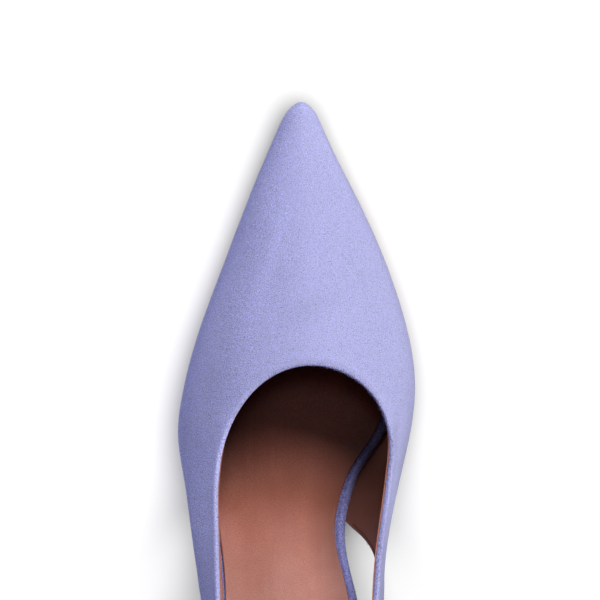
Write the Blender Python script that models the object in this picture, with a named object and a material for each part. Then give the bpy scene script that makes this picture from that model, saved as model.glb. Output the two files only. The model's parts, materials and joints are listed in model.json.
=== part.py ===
"""Slingback pump for a left foot: pointed toe, open waist, slim covered heel.

Sizes are millimetres, and add_piece() turns them into metres. A station is the distance from the
back of the sling towards the toe. Medial is the arch side (+X) and lateral the little-toe side (-X).
"""

import math

import bmesh
import bpy
import numpy as np

MM = 0.001
MEDIAL = 1
LATERAL = -1

# Driving sizes of the shoe.
LENGTH = 240.0
BALL_WIDTH = 78.0
INSTEP = 30.0
HEEL_HEIGHT = 75.0
UPPER_WALL = 2.2
OUTSOLE_THICK = 3.5
OUTSOLE_WAIST = 2.4
INSOLE_THICK = 3.5
SOCK_THICK = 1.0
SOCK_INSET = 2.8
GAP = 0.3

# Side view of the sole: a flat tread, then a slope that grows to the shank's and eases at the seat.
TOE_SPRING = 6.0
TREAD_FRONT = 165.0
TREAD_BACK = 128.0
SHANK_FRONT = 95.0
SHANK_BACK = 60.0
SEAT_FRONT = 25.0
SEAT_SLOPE_SHARE = 0.41
SEAT_DISH = 1.2
DISH_FRONT = 90.0

# Ends of the pieces in plan.
TOE_ROUND = 5.0
HEEL_ROUND = 28.0
FEATHER_TOE = 238.8
FEATHER_REACH = 2.6
FEATHER_WAIST_REACH = 1.8
INSOLE_TOE = 236.4
INSOLE_BACK = 4.4
SOCK_TOE = 228.0
SOLE_TOE = 239.2
SOLE_REACH = 3.0
SOLE_WAIST_REACH = -0.8
SOLE_REACH_FRONT = 116.0
SOLE_REACH_BACK = 100.0
BREAST = 50.0

# Topline and cut-outs of the upper.
THROAT = 153.2
THROAT_END = 120.5
SLING_LEAN = 2.0
CUT_FRONT = 100.5
CUT_BACK = 75.0
CUT_SHAPE = 1.15
SECTION_POWER = 1.8
WALL_FLATNESS = 0.6
FLAT_FRONT = 153.2
FLAT_BACK = 116.0

# Mesh of the upper: columns from the lower edge to the topline, and the steps between them.
ROWS = 10
LOWER_SHARE = 0.5
FAN_BACK = 150.0
FAN_ANGLE = 62.0
FAN_STEPS = 17
FAN_CROWDING = 1.6
SIDE_STEPS = 5
HEEL_STEPS = 7
STRIP_STEPS = ((THROAT_END, CUT_FRONT, 4), (CUT_FRONT, CUT_BACK, 6), (CUT_BACK, HEEL_ROUND, 5))

# Heel and its top lift.
LIFT_THICK = 5.0
SEAT_INSET = 0.4
HEEL_ROUND_SHARE = 0.55
BREAST_HOLLOW = 1.4
SEAT_POWER = 2
HEEL_LEVELS = 16
SEAT_STEPS = 9

# Edge rounds of the flat pieces, and the steps of their meshes.
INSOLE_ROUNDS = (1.2, 1.5)
SOCK_ROUNDS = (0.2, 0.4)
SOLE_ROUNDS = (0.9, 0.5)
MOST_ROUND_SHARE = 0.45
CORNER_STEPS = 2
TOP_SHARES = (0.6, 0.0, -0.6)
TOE_SHARES = (0.0006, 0.06, 0.2, 0.5)
END_WIDTH = 0.06
INSOLE_PITCH = 7.0
SOLE_PITCH = 6.3


def natural_spline(knots, values):
    """A cubic spline through the values, as a function of the knot variable."""
    knots = np.array(knots, float)
    values = np.array(values, float)
    spans = np.diff(knots)
    slopes = np.diff(values) / spans
    system = np.eye(len(knots))
    right = np.zeros(len(knots))
    for i in range(1, len(knots) - 1):
        system[i, i - 1 : i + 2] = spans[i - 1], 2 * (spans[i - 1] + spans[i]), spans[i]
        right[i] = 6 * (slopes[i] - slopes[i - 1])
    bends = np.linalg.solve(system, right)

    def value(at):
        at = min(max(at, knots[0]), knots[-1])
        i = min(int(np.searchsorted(knots, at, side="right")) - 1, len(knots) - 2)
        after = (at - knots[i]) / spans[i]
        before = 1 - after
        curved = (before**3 - before) * bends[i] + (after**3 - after) * bends[i + 1]
        return float(before * values[i] + after * values[i + 1] + curved * spans[i] ** 2 / 6)

    return value


class Sections:
    """Smooth curves through the columns of a table, read along its first column."""

    def __init__(self, unit, columns, *rows):
        rows = sorted(rows)
        along = [row[0] * unit for row in rows]
        self.curves = {
            name: natural_spline(along, [row[i] for row in rows])
            for i, name in enumerate(columns.split())
            if i
        }

    def at(self, column, along):
        return self.curves[column](along)


# Stations in percent of the length. Lateral, medial and centre in percent of the ball width: the
# widest outline on each side and the line of the crown. Widest in percent of the instep: the height
# of that outline above the feather line.
LAST = Sections(
    LENGTH / 100,
    "station lateral medial centre widest",
    (100.0, 2.8, 6.4, 1.8, 13.0),
    (96.0, 8.4, 11.4, 2.0, 17.0),
    (86.0, 21.3, 26.5, 2.6, 22.0),
    (79.0, 29.5, 36.2, 3.4, 25.0),
    (72.0, 37.6, 43.8, 4.6, 29.0),
    (66.0, 43.8, 48.4, 5.8, 32.0),
    (60.0, 48.3, 49.9, 6.0, 36.0),
    (54.5, 50.3, 47.9, 5.0, 40.0),
    (47.5, 47.3, 43.0, 2.6, 54.0),
    (42.0, 44.9, 39.4, 1.5, 61.0),
    (36.5, 42.4, 37.0, 0.6, 60.0),
    (31.0, 39.8, 36.3, 0.2, 57.5),
    (23.0, 37.9, 35.1, -1.0, 59.5),
    (12.0, 36.2, 32.4, -1.9, 84.0),
    (0.0, 36.2, 32.4, -1.9, 136.0),
)

# Height of the last's crown above the feather line, in percent of the instep. It runs on over the
# throat, where the upper is open.
CROWN = Sections(
    LENGTH / 100,
    "station height",
    (100.0, 19.0),
    (96.0, 32.0),
    (86.0, 58.5),
    (79.0, 75.0),
    (72.0, 90.0),
    (66.0, 101.5),
    (60.0, 112.0),
    (50.2, 128.5),
)

# Topline behind the throat: half width in percent of the ball width, and height above the feather
# line in percent of the instep.
TOPLINE = Sections(
    LENGTH / 100,
    "station half height",
    (64.0, 36.9, 99.5),
    (54.5, 37.0, 98.5),
    (50.2, 36.9, 99.5),
    (47.5, 36.8, 101.0),
    (42.0, 35.6, 102.5),
    (36.5, 34.4, 101.0),
    (31.0, 33.7, 99.5),
    (23.0, 33.0, 101.0),
    (12.0, 31.6, 124.0),
    (0.0, 31.6, 172.0),
)

# Edge of the insole, in percent of the ball width.
INSOLE = Sections(
    LENGTH / 100,
    "station lateral medial",
    (98.5, -0.5, 3.1),
    (95.8, 3.8, 6.8),
    (86.0, 16.4, 21.5),
    (79.0, 23.8, 30.5),
    (72.0, 31.0, 37.3),
    (66.0, 36.4, 41.0),
    (60.0, 39.9, 41.4),
    (54.9, 41.0, 37.1),
    (49.4, 38.9, 26.2),
    (45.3, 37.1, 21.5),
    (40.5, 35.4, 19.3),
    (35.7, 33.6, 21.5),
    (31.7, 33.0, 24.5),
    (23.0, 33.0, 28.6),
    (12.5, 33.8, 30.0),
    (0.0, 33.8, 30.0),
)

# Levels in percent from the top lift to the seat; front and back stations and half width of the heel.
HEEL = Sections(
    0.01,
    "level front back half",
    (0, 25.5, 13.5, 5.8),
    (25, 25.8, 12.3, 6.3),
    (50, 27.5, 10.3, 8.0),
    (75, 32.5, 7.4, 12.6),
    (90, 40.0, 5.6, 18.6),
    (100, 50.0, 4.8, 24.5),
)


def mix(start, end, share):
    return start + (end - start) * share


def end_round(distance, length):
    """Share of the full width at this distance from a round end."""
    if distance >= length:
        return 1.0
    return math.sqrt(1 - (1 - max(distance, 0.0) / length) ** 2)


def waist_share(station, front, back):
    """0 behind the waist and 1 in front of it, with a smooth change between."""
    share = min(max((station - back) / (front - back), 0.0), 1.0)
    return share * share * (3 - 2 * share)


def arch_shape(station):
    """Rise of the sole behind the tread, for a shank slope of one."""
    stations = (TREAD_BACK, SHANK_FRONT, SHANK_BACK, SEAT_FRONT, 0.0)
    slopes = (0.0, 1.0, 1.0, SEAT_SLOPE_SHARE, SEAT_SLOPE_SHARE)
    rise = 0.0
    for i in range(len(stations) - 1):
        run = stations[i] - max(station, stations[i + 1])
        if run <= 0:
            break
        change = (slopes[i + 1] - slopes[i]) / (stations[i] - stations[i + 1])
        rise += run * (slopes[i] + change * run / 2)
    return rise


SHANK_SLOPE = (HEEL_HEIGHT - OUTSOLE_THICK - GAP) / arch_shape(0.0)


def feather_height(station):
    """Height of the feather line, where the upper and the insole meet the sole."""
    forward = max(station - TREAD_FRONT, 0.0) / (LENGTH - TREAD_FRONT)
    return OUTSOLE_THICK + GAP + TOE_SPRING * forward**2 + SHANK_SLOPE * arch_shape(station)


def widest_height(station):
    return feather_height(station) + LAST.at("widest", station) * INSTEP / 100


def topline_height(station):
    return feather_height(station) + TOPLINE.at("height", station) * INSTEP / 100


def centre_line(station):
    return LAST.at("centre", station) * BALL_WIDTH / 100


def plan_edge(table, side, station, toe, back, reach=0.0):
    """X of an edge in plan, rounded off at its toe and at its back."""
    column = "medial" if side == MEDIAL else "lateral"
    edge = side * (table.at(column, station) * BALL_WIDTH / 100 + reach)
    centre = centre_line(station)
    share = end_round(toe - station, TOE_ROUND) * end_round(station - back, HEEL_ROUND - back)
    return centre + (edge - centre) * share


def outline_edge(side, station):
    return plan_edge(LAST, side, station, LENGTH, 0.0)


def feather_edge(side, station):
    """Foot of the upper's wall. The arch side flares, so there the wall stands closer."""
    reach = FEATHER_REACH
    if side == MEDIAL:
        reach = mix(FEATHER_WAIST_REACH, FEATHER_REACH, waist_share(station, TREAD_BACK, CUT_FRONT))
    return plan_edge(INSOLE, side, station, FEATHER_TOE, INSOLE_BACK, reach)


def insole_edge(side, station):
    return plan_edge(INSOLE, side, station, INSOLE_TOE, INSOLE_BACK)


def sock_edge(side, station):
    return plan_edge(INSOLE, side, station, SOCK_TOE, INSOLE_BACK + SOCK_INSET, -SOCK_INSET)


def outsole_edge(side, station):
    """The sole carries the upper's wall in front and draws in under the insole at the waist."""
    share = waist_share(station, SOLE_REACH_FRONT, SOLE_REACH_BACK)
    reach = mix(SOLE_WAIST_REACH, SOLE_REACH, share)
    return plan_edge(INSOLE, side, station, SOLE_TOE, INSOLE_BACK, reach)


def topline_edge(side, station):
    """The throat is half an ellipse; behind it the topline follows its table round the heel."""
    if station >= THROAT_END:
        forward = (station - THROAT_END) / (THROAT - THROAT_END)
        half = TOPLINE.at("half", THROAT_END) * math.sqrt(max(1 - forward**2, 0.0))
    else:
        share = end_round(station - SLING_LEAN, HEEL_ROUND - SLING_LEAN)
        half = TOPLINE.at("half", station) * share
    return centre_line(station) + side * half * BALL_WIDTH / 100


def topline_share(side, station):
    """Where the topline crosses the section, as a share of its half width from the centre."""
    centre = centre_line(station)
    return abs(topline_edge(side, station) - centre) / abs(outline_edge(side, station) - centre)


def section_curve(share):
    """Height of a section's curve over this share of its half width, for a height of one."""
    return (1 - share**SECTION_POWER) ** (1 / SECTION_POWER)


def crown_rise(side, station):
    """Rise of a section over its widest line: to the crown, and behind the throat to meet the topline."""
    rise = (CROWN.at("height", station) - LAST.at("widest", station)) * INSTEP / 100
    if station >= THROAT:
        return rise * end_round(LENGTH - station, TOE_ROUND)
    wall = topline_height(station) - widest_height(station)
    to_topline = wall / section_curve(topline_share(side, station))
    return mix(to_topline, rise, waist_share(station, THROAT, THROAT_END))


def flatness(station):
    """How far a wall goes from the section's curve to a straight slope."""
    return WALL_FLATNESS * (1 - waist_share(station, FLAT_FRONT, FLAT_BACK))


def upper_surface_height(x, station):
    """Height of the last over a point in plan, by the section through that station."""
    centre = centre_line(station)
    side = MEDIAL if x >= centre else LATERAL
    half = abs(outline_edge(side, station) - centre)
    share = min(abs(x - centre) / half, 1.0) if half else 1.0
    lift = section_curve(share)
    if station < THROAT:
        top_share = topline_share(side, station)
        straight = section_curve(top_share) * (1 - share) / (1 - top_share)
        lift = mix(lift, straight, flatness(station))
    return widest_height(station) + crown_rise(side, station) * lift


def cut_share(station):
    """How far up the lower wall the cut-out's edge is: 0 at the feather line, 1 along the strap."""
    back = min(max((CUT_FRONT - station) / (CUT_FRONT - CUT_BACK), 0.0), 1.0)
    return math.sin(math.pi / 2 * back) ** CUT_SHAPE


def throat_station(angle):
    return mix(THROAT_END, THROAT, math.cos(math.radians(angle)))


def column_stations():
    """Stations on the outline and on the topline, column by column from the tip to the back."""
    pairs = []
    for i in range(FAN_STEPS):
        share = i / FAN_STEPS
        outline = mix(LENGTH, FAN_BACK, share**FAN_CROWDING)
        pairs.append((outline, throat_station(FAN_ANGLE * share)))
    for i in range(SIDE_STEPS):
        share = i / SIDE_STEPS
        outline = mix(FAN_BACK, THROAT_END, share)
        pairs.append((outline, throat_station(mix(FAN_ANGLE, 90.0, share))))
    for front, back, steps in STRIP_STEPS:
        for i in range(steps):
            station = mix(front, back, i / steps)
            pairs.append((station, station))
    for i in range(HEEL_STEPS + 1):
        turn = math.sin(math.pi / 2 * i / HEEL_STEPS)
        pairs.append((mix(HEEL_ROUND, 0.0, turn), mix(HEEL_ROUND, SLING_LEAN, turn)))
    return pairs


def feather_station(station):
    """The feather line's end lies behind the tip of the outline."""
    forward = max(station - FAN_BACK, 0.0) / (LENGTH - FAN_BACK)
    return station - (LENGTH - FEATHER_TOE) * forward


def upper_column(side, outline, topline):
    """Points of the upper's outer face from its lower edge up to the topline."""
    foot_station = feather_station(outline)
    foot = np.array(
        (feather_edge(side, foot_station), foot_station, feather_height(foot_station))
    )
    widest = np.array((outline_edge(side, outline), outline, widest_height(outline)))
    top = np.array((topline_edge(side, topline), topline, topline_height(topline)))
    power = 2 / SECTION_POWER
    section_share = topline_share(side, max(topline, HEEL_ROUND))
    top_angle = math.acos(section_share ** (1 / power))
    start = -LOWER_SHARE * (1 - cut_share(outline))
    points = []
    for row in range(ROWS + 1):
        reach = mix(start, 1.0, row / ROWS)
        if reach < 0:
            rise = 1 + reach / LOWER_SHARE
            spread = 1 - (1 - rise) ** 2
            points.append(mix(foot, widest, np.array((spread, spread, rise))))
            continue
        angle = reach * top_angle
        spread = (1 - math.cos(angle) ** power) / (1 - math.cos(top_angle) ** power)
        curved = (math.sin(angle) / math.sin(top_angle)) ** power
        lift = mix(curved, spread, flatness(outline))
        point = mix(widest, top, np.array((spread, spread, lift)))
        if outline > HEEL_ROUND:
            point[2] = upper_surface_height(point[0], point[1])
        points.append(point)
    return points


def upper_sheet():
    """The upper's outer face as a closed band of columns round the foot."""
    pairs = column_stations()
    columns = [upper_column(MEDIAL, *pair) for pair in pairs]
    columns += [upper_column(LATERAL, *pair) for pair in reversed(pairs[1:-1])]
    points = [point for column in columns for point in column]
    count = len(columns)
    step = ROWS + 1
    faces = []
    for i in range(count):
        here = i * step
        there = (i + 1) % count * step
        for row in range(ROWS):
            faces.append((there + row, here + row, here + row + 1, there + row + 1))
    return points, faces


def plate_stations(toe, back, round_toe, round_back, pitch):
    """Stations of a flat piece: close together at its round ends and even between them."""
    front = toe - TOE_ROUND if round_toe else toe
    rear = HEEL_ROUND if round_back else back
    stations = []
    if round_toe:
        stations += [toe - TOE_ROUND * share for share in TOE_SHARES]
    steps = round((front - rear) / pitch)
    stations += [mix(front, rear, i / steps) for i in range(steps + 1)]
    if round_back:
        turns = [math.sin(math.pi / 2 * i / SEAT_STEPS) for i in range(1, SEAT_STEPS)]
        stations += [mix(HEEL_ROUND, back, turn) for turn in turns]
        stations.append(back + END_WIDTH)
    return stations


def plate_ring(left, right, bottom, top, rounds, dish):
    """Cross-section of a flat piece, with its lower and upper edges rounded and its top dished."""
    most = MOST_ROUND_SHARE * min(right - left, top - bottom)
    low, high = (min(edge_round, most) for edge_round in rounds)
    corners = (
        (right - low, bottom + low, low, -90),
        (right - high, top - high, high, 0),
        (left + high, top - high, high, 90),
        (left + low, bottom + low, low, 180),
    )
    middle = (left + right) / 2
    ring = []
    for x, z, radius, start in corners:
        if start == 90:
            for share in TOP_SHARES:
                ring.append((mix(middle, right - high, share), top - dish * (1 - share**2)))
        for i in range(CORNER_STEPS + 1):
            angle = math.radians(start + 90 * i / CORNER_STEPS)
            ring.append((x + radius * math.cos(angle), z + radius * math.sin(angle)))
    return ring


def plate(stations, edge, bottom, top, rounds, dished=False):
    """A flat piece swept along its stations between two edges and two heights."""
    points = []
    rings = []
    for station in stations:
        dish = SEAT_DISH * max(1 - station / DISH_FRONT, 0.0) if dished else 0.0
        ring = plate_ring(
            edge(LATERAL, station),
            edge(MEDIAL, station),
            bottom(station),
            top(station),
            rounds,
            dish,
        )
        rings.append(range(len(points), len(points) + len(ring)))
        points += [(x, station, z) for x, z in ring]
    return points, ring_faces(rings) + [tuple(rings[0]), tuple(rings[-1])]


def ring_faces(rings):
    """Side faces between each ring of point numbers and the next."""
    faces = []
    for ring, following in zip(rings, rings[1:]):
        for i in range(len(ring)):
            j = (i + 1) % len(ring)
            faces.append((ring[i], ring[j], following[j], following[i]))
    return faces


def insole_top(station):
    return feather_height(station) + INSOLE_THICK


def insole_piece():
    stations = plate_stations(INSOLE_TOE, INSOLE_BACK, True, True, INSOLE_PITCH)
    return plate(stations, insole_edge, feather_height, insole_top, INSOLE_ROUNDS, dished=True)


def sock_bottom(station):
    return insole_top(station) + GAP


def sock_top(station):
    return sock_bottom(station) + SOCK_THICK


def sock_piece():
    stations = plate_stations(SOCK_TOE, INSOLE_BACK + SOCK_INSET, True, True, INSOLE_PITCH)
    return plate(stations, sock_edge, sock_bottom, sock_top, SOCK_ROUNDS)


def outsole_top(station):
    return feather_height(station) - GAP


def outsole_bottom(station):
    share = min(max((TREAD_BACK - station) / (TREAD_BACK - SHANK_FRONT), 0.0), 1.0)
    return outsole_top(station) - mix(OUTSOLE_THICK, OUTSOLE_WAIST, share)


def outsole_piece():
    stations = plate_stations(SOLE_TOE, BREAST + GAP, True, False, SOLE_PITCH)
    stations = sorted({*stations, TREAD_FRONT, TREAD_BACK}, reverse=True)
    return plate(stations, outsole_edge, outsole_bottom, outsole_top, SOLE_ROUNDS)


def heel_ring(level):
    """One section of the heel, from the middle of its back round by the medial side."""
    front = HEEL.at("front", level)
    back = HEEL.at("back", level)
    half = HEEL.at("half", level)
    seat_front = HEEL.at("front", 1.0)
    seat_back = HEEL.at("back", 1.0)
    seat_half = HEEL.at("half", 1.0)
    centre = centre_line(0.0)
    foot = LIFT_THICK + GAP

    def point(side, share, hollow):
        seat_station = mix(seat_back, seat_front, share)
        seat_edge = plan_edge(INSOLE, MEDIAL, seat_station, LENGTH, seat_back, -SEAT_INSET)
        seat_shape = (seat_edge - centre) / seat_half
        foot_shape = end_round(share, HEEL_ROUND_SHARE)
        width = half * mix(foot_shape, seat_shape, level**SEAT_POWER)
        height = mix(foot, feather_height(seat_station) - GAP, level)
        return (centre + side * width, mix(back, front, share) - hollow, height)

    turns = [1 - math.cos(math.pi / 2 * i / SEAT_STEPS) for i in range(SEAT_STEPS + 1)]
    medial = [point(MEDIAL, share, 0.0) for share in turns]
    breast = [point(side, 1.0, BREAST_HOLLOW * (1 - side**2)) for side in TOP_SHARES]
    lateral = [point(LATERAL, share, 0.0) for share in reversed(turns[1:])]
    return medial + breast + lateral


def heel_piece():
    levels = [i / HEEL_LEVELS for i in range(HEEL_LEVELS + 1)]
    points = []
    rings = []
    for level in levels:
        ring = heel_ring(level)
        rings.append(range(len(points), len(points) + len(ring)))
        points += ring
    seat = rings[-1]
    count = len(seat)
    faces = ring_faces(rings) + [tuple(rings[0])]
    faces.append((seat[0], seat[1], seat[count - 1]))
    for i in range(1, SEAT_STEPS):
        faces.append((seat[i], seat[i + 1], seat[count - i - 1], seat[count - i]))
    faces.append(tuple(seat[SEAT_STEPS : count - SEAT_STEPS + 1]))
    return points, faces


def top_lift_piece():
    foot = heel_ring(0.0)
    points = [(x, y, 0.0) for x, y, _ in foot] + [(x, y, LIFT_THICK) for x, y, _ in foot]
    count = len(foot)
    rings = [range(count), range(count, 2 * count)]
    return points, ring_faces(rings) + [tuple(ring) for ring in rings]


def make_material(name, colour, roughness):
    material = bpy.data.materials.new(name)
    material.use_nodes = True
    shader = material.node_tree.nodes["Principled BSDF"]
    shader.inputs["Base Color"].default_value = (*colour, 1.0)
    shader.inputs["Roughness"].default_value = roughness
    shader.inputs["Metallic"].default_value = 0.0
    return material


def add_piece(name, shape, material, shoe):
    """An object with the shape's points in metres and its faces pointing out."""
    points, faces = shape
    mesh = bpy.data.meshes.new(name)
    mesh.from_pydata([tuple(float(value) * MM for value in point) for point in points], [], faces)
    mesh.materials.append(material)
    working = bmesh.new()
    working.from_mesh(mesh)
    bmesh.ops.recalc_face_normals(working, faces=working.faces)
    working.to_mesh(mesh)
    working.free()
    piece = bpy.data.objects.new(name, mesh)
    piece.parent = shoe
    bpy.context.scene.collection.objects.link(piece)
    return piece


def thicken(piece, wall):
    """Gives the upper its wall, inwards from the outer face."""
    solid = piece.modifiers.new("wall", "SOLIDIFY")
    solid.thickness = wall * MM
    solid.offset = -1.0
    solid.use_even_offset = True
    solid.use_quality_normals = True


def main():
    for item in list(bpy.data.objects):
        bpy.data.objects.remove(item)
    shoe = bpy.data.objects.new("slingback_pump", None)
    shoe.location = (0.0, -LENGTH / 2 * MM, 0.0)
    bpy.context.scene.collection.objects.link(shoe)

    suede = make_material("suede", (0.43, 0.44, 0.76), 0.95)
    rim_suede = make_material("insole_suede", (0.20, 0.20, 0.46), 0.95)
    heel_suede = make_material("heel_suede", (0.42, 0.43, 0.75), 0.95)
    sock_leather = make_material("sock_leather", (0.44, 0.18, 0.13), 0.5)
    sole_leather = make_material("sole_leather", (0.42, 0.24, 0.14), 0.45)
    lift_rubber = make_material("lift_rubber", (0.05, 0.04, 0.04), 0.6)

    upper = add_piece("upper", upper_sheet(), suede, shoe)
    thicken(upper, UPPER_WALL)
    add_piece("insole", insole_piece(), rim_suede, shoe)
    add_piece("sock_lining", sock_piece(), sock_leather, shoe)
    add_piece("outsole", outsole_piece(), sole_leather, shoe)
    add_piece("heel", heel_piece(), heel_suede, shoe)
    add_piece("top_lift", top_lift_piece(), lift_rubber, shoe)


main()
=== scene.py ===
"""Looks of the slingback pump: lilac suede, leather lining, sock and sole, on a white studio floor.

Shapes are worked out in millimetres from the sizes of the solids and turned into metres by to_row().
A station is the distance from the back of the sling towards the toe.
"""

import json
from functools import partial

import bpy
import numpy as np
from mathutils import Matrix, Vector

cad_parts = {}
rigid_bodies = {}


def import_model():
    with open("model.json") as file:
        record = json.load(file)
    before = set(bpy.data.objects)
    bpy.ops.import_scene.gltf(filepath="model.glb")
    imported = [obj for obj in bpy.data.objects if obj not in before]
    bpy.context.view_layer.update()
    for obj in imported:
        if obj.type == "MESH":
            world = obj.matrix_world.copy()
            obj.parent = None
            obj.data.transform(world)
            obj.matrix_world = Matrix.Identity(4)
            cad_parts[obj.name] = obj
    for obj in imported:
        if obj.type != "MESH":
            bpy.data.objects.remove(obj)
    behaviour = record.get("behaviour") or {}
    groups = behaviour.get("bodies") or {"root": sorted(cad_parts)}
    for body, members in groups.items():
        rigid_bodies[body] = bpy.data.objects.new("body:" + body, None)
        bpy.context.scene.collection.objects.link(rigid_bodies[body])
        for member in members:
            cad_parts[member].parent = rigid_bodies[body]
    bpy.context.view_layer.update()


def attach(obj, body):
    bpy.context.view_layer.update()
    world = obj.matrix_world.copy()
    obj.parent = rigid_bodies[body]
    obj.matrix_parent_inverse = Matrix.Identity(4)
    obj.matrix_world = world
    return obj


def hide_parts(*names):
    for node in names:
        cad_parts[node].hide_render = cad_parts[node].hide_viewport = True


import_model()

MM = 0.001
MEDIAL = 1.0
LATERAL = -1.0
SEED = 7
RIGHT_ANGLE = 90.0

# Smallest length in millimetres, or share, that is told apart from nothing.
TINY = 0.001

# Driving sizes of the shoe, as in its solids.
LENGTH = 240.0
BALL_WIDTH = 78.0
INSTEP = 30.0
HEEL_HEIGHT = 75.0
OUTSOLE_THICK = 3.5
OUTSOLE_WAIST = 2.4
INSOLE_THICK = 3.5
SOCK_THICK = 1.0
SOCK_INSET = 2.8
GAP = 0.3

# Side view of the sole: a flat tread, then a slope that grows to the shank's and eases at the seat.
TOE_SPRING = 6.0
TREAD_FRONT = 165.0
TREAD_BACK = 128.0
SHANK_FRONT = 95.0
SHANK_BACK = 60.0
SEAT_FRONT = 25.0
SEAT_SLOPE_SHARE = 0.41

# Ends of the pieces in plan.
TOE_ROUND = 5.0
HEEL_ROUND = 28.0
FEATHER_TOE = 238.8
FEATHER_REACH = 2.6
FEATHER_WAIST_REACH = 1.8
INSOLE_TOE = 236.4
INSOLE_BACK = 4.4
SOCK_TOE = 228.0
SOLE_TOE = 239.2
SOLE_REACH = 3.0
SOLE_WAIST_REACH = -0.8
SOLE_REACH_FRONT = 116.0
SOLE_REACH_BACK = 100.0
BREAST = 50.0
WRAP_REACH = 0.7
SOCK_LATERAL_REACH = 0.6
SOCK_REACH_STATIONS = (75.0, 50.0)
SOCK_MEDIAL_REACH = 0.9
SOCK_MEDIAL_STATIONS = (104.0, 82.0)
BEAD_RISE = 0.7
BEAD_GAP = 0.15
SOCK_DISH = 0.6
DISH_POWER = 3
RIDGE_RISE = 0.8
RIDGE_X = -9.5
RIDGE_WIDTH = 9.0

# Lasting margin: the wall's foot turned in under the insole, up to where the wall leaves the sole.
MARGIN_STATIONS = (136.0, 99.5)
MARGIN_REACH = (-1.6, 1.5)
MARGIN_TAPER = 7.0
MARGIN_END = 1.0
MARGIN_STEPS = 24
MARGIN_LEVELS = (-0.27, -0.04)
MARGIN_ROUNDS = (0.05, 0.05)

# Topline and cut-outs of the upper.
THROAT = 153.2
THROAT_END = 120.5
SLING_LEAN = 2.0
CUT_FRONT = 100.5
CUT_BACK = 75.0
CUT_SHAPE = 1.15
SECTION_POWER = 1.8
WALL_FLATNESS = 0.6
FLAT_FRONT = 153.2
FLAT_BACK = 116.0
LOWER_SHARE = 0.5

# Steps of the fine meshes.
UPPER_ROWS = 120
FAN_BACK = 150.0
FAN_ANGLE = 62.0
FAN_STEPS = 110
FAN_CROWDING = 1.6
SIDE_STEPS = 24
HEEL_STEPS = 36
STRIP_STEPS = ((THROAT_END, CUT_FRONT, 16), (CUT_FRONT, CUT_BACK, 26), (CUT_BACK, HEEL_ROUND, 28))
CORNER_STEPS = 5
PLATE_PITCH = 2.0
END_STEPS = 14
ACROSS_STEPS = 44
HEEL_LEVELS = 60
SEAT_STEPS = 26

# Soft strokes of painted light and shade on the upper's suede, partly brush marks in its nap: painted
# highlights down the vamp, at the toe and along the lateral topline, painted shade across the vamp near
# the throat, on both flanks and down the rear walls, and a painted highlight beside painted shade on the
# medial strap. x and station of both ends, width and how much lighter or darker they are.
BRUSHED_AND_PAINTED_LIGHT = "brushed"
BRUSH_AND_PAINTED_LIGHT_STROKES = (
    (-0.3, 212.0, -19.5, 157.0, 2.4, 0.10),
    (-5.0, 234.0, -10.0, 192.0, 6.0, 0.07),
    (-7.0, 167.0, 17.0, 178.5, 3.6, -0.07),
    (-8.0, 186.0, 0.0, 181.5, 3.0, -0.04),
    (-19.0, 178.0, -29.0, 130.0, 5.0, -0.09),
    (12.0, 225.0, 33.0, 135.0, 8.0, -0.05),
    (-29.0, 125.0, -28.0, 40.0, 8.0, -0.16),
    (30.0, 110.0, 28.0, 40.0, 6.0, -0.18),
    (-22.5, 143.0, -26.0, 112.0, 2.2, 0.16),
    (33.2, 140.0, 23.2, 60.0, 1.0, -0.28),
    (35.7, 140.0, 25.1, 70.0, 1.3, 0.26),
)

# Layers of the upper: depths from its outer face. The suede is turned over the edges in a roll that
# stands a little proud, and the lining stops short of it.
SUEDE_LAYER = (0.0, 1.8)
LINING_LAYER = (1.82, 2.3)
ROLL_PROUD = 0.12
ROLL_REACH = 2.6
ROLL_LENGTHS = (1.1, 2.4)
ROLL_STATIONS = (150.0, 126.0)
EDGE_STEPS = (0.0, 0.25, 0.55, 0.9, 1.3, 1.75, 2.2, 2.6)
LINING_TRIM = 0.45
LINING_PAD = 0.9
PAD_STATIONS = (106.0, 76.0)
THROAT_TRIM = 1.9
TRIM_STATIONS = (141.0, 122.0)
SUEDE_ROWS = (42, 18)
OPEN_NAP_TURN = 0.25 * np.pi
LINING_ROWS = (16, 32)
ROLL_STEPS = 10

# Lining thread: the girth of a stitch is given at places along half its length.
STITCH_PITCH = 1.05
STITCH_LENGTH = 0.78
STITCH_RADIUS = 0.17
STITCH_SIDES = 6
STITCH_INSET = 1.5
STITCH_ENDS = (-1.0, -0.8, -0.35, 0.35, 0.8, 1.0)
STITCH_GIRTHS = (0.35, 0.8, 1.0, 1.0, 0.8, 0.35)

# Loose fibres of the nap along the edges: length, thickness, how many to a millimetre of edge.
FIBRE_LENGTHS = (0.3, 0.9)
FIBRE_RADIUS = 0.085
FIBRE_DENSITY = 7.0
RIM_FIBRE_DENSITY = 12.0
FIBRE_SPREAD = 0.55
FIBRE_TURNS = (0.15 * np.pi, 0.95 * np.pi)
FREE_SHARE = 0.3
RIM_FIBRE_FRONT = 150.0
RIM_FIBRE_BACK = 20.0
RIM_FIBRE_REACH = (-0.05, 0.98)

# Heel and its top lift.
LIFT_THICK = 5.0
LIFT_ROUND = 0.5
SEAT_INSET = 0.4
HEEL_ROUND_SHARE = 0.55
BREAST_HOLLOW = 1.4
SEAT_POWER = 2

# Edge rounds of the flat pieces: lower and upper.
INSOLE_ROUNDS = (1.6, 1.7)
SOCK_ROUNDS = (0.2, 0.45)
SOLE_ROUNDS = (0.9, 0.5)
MOST_ROUND_SHARE = 0.48

# The photo's frame: pixels, the size of a pixel, and the pixel and place that it is counted from.
FRAME_PIXELS = 600
PIXEL = 0.3295
PIXEL_X = 297.0
PIXEL_TOE = 101.5
CAMERA_HEIGHT = 4000.0
CAMERA_LEVEL = 20.0
CAMERA_FAR = 100.0
SENSOR = 36.0

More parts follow.
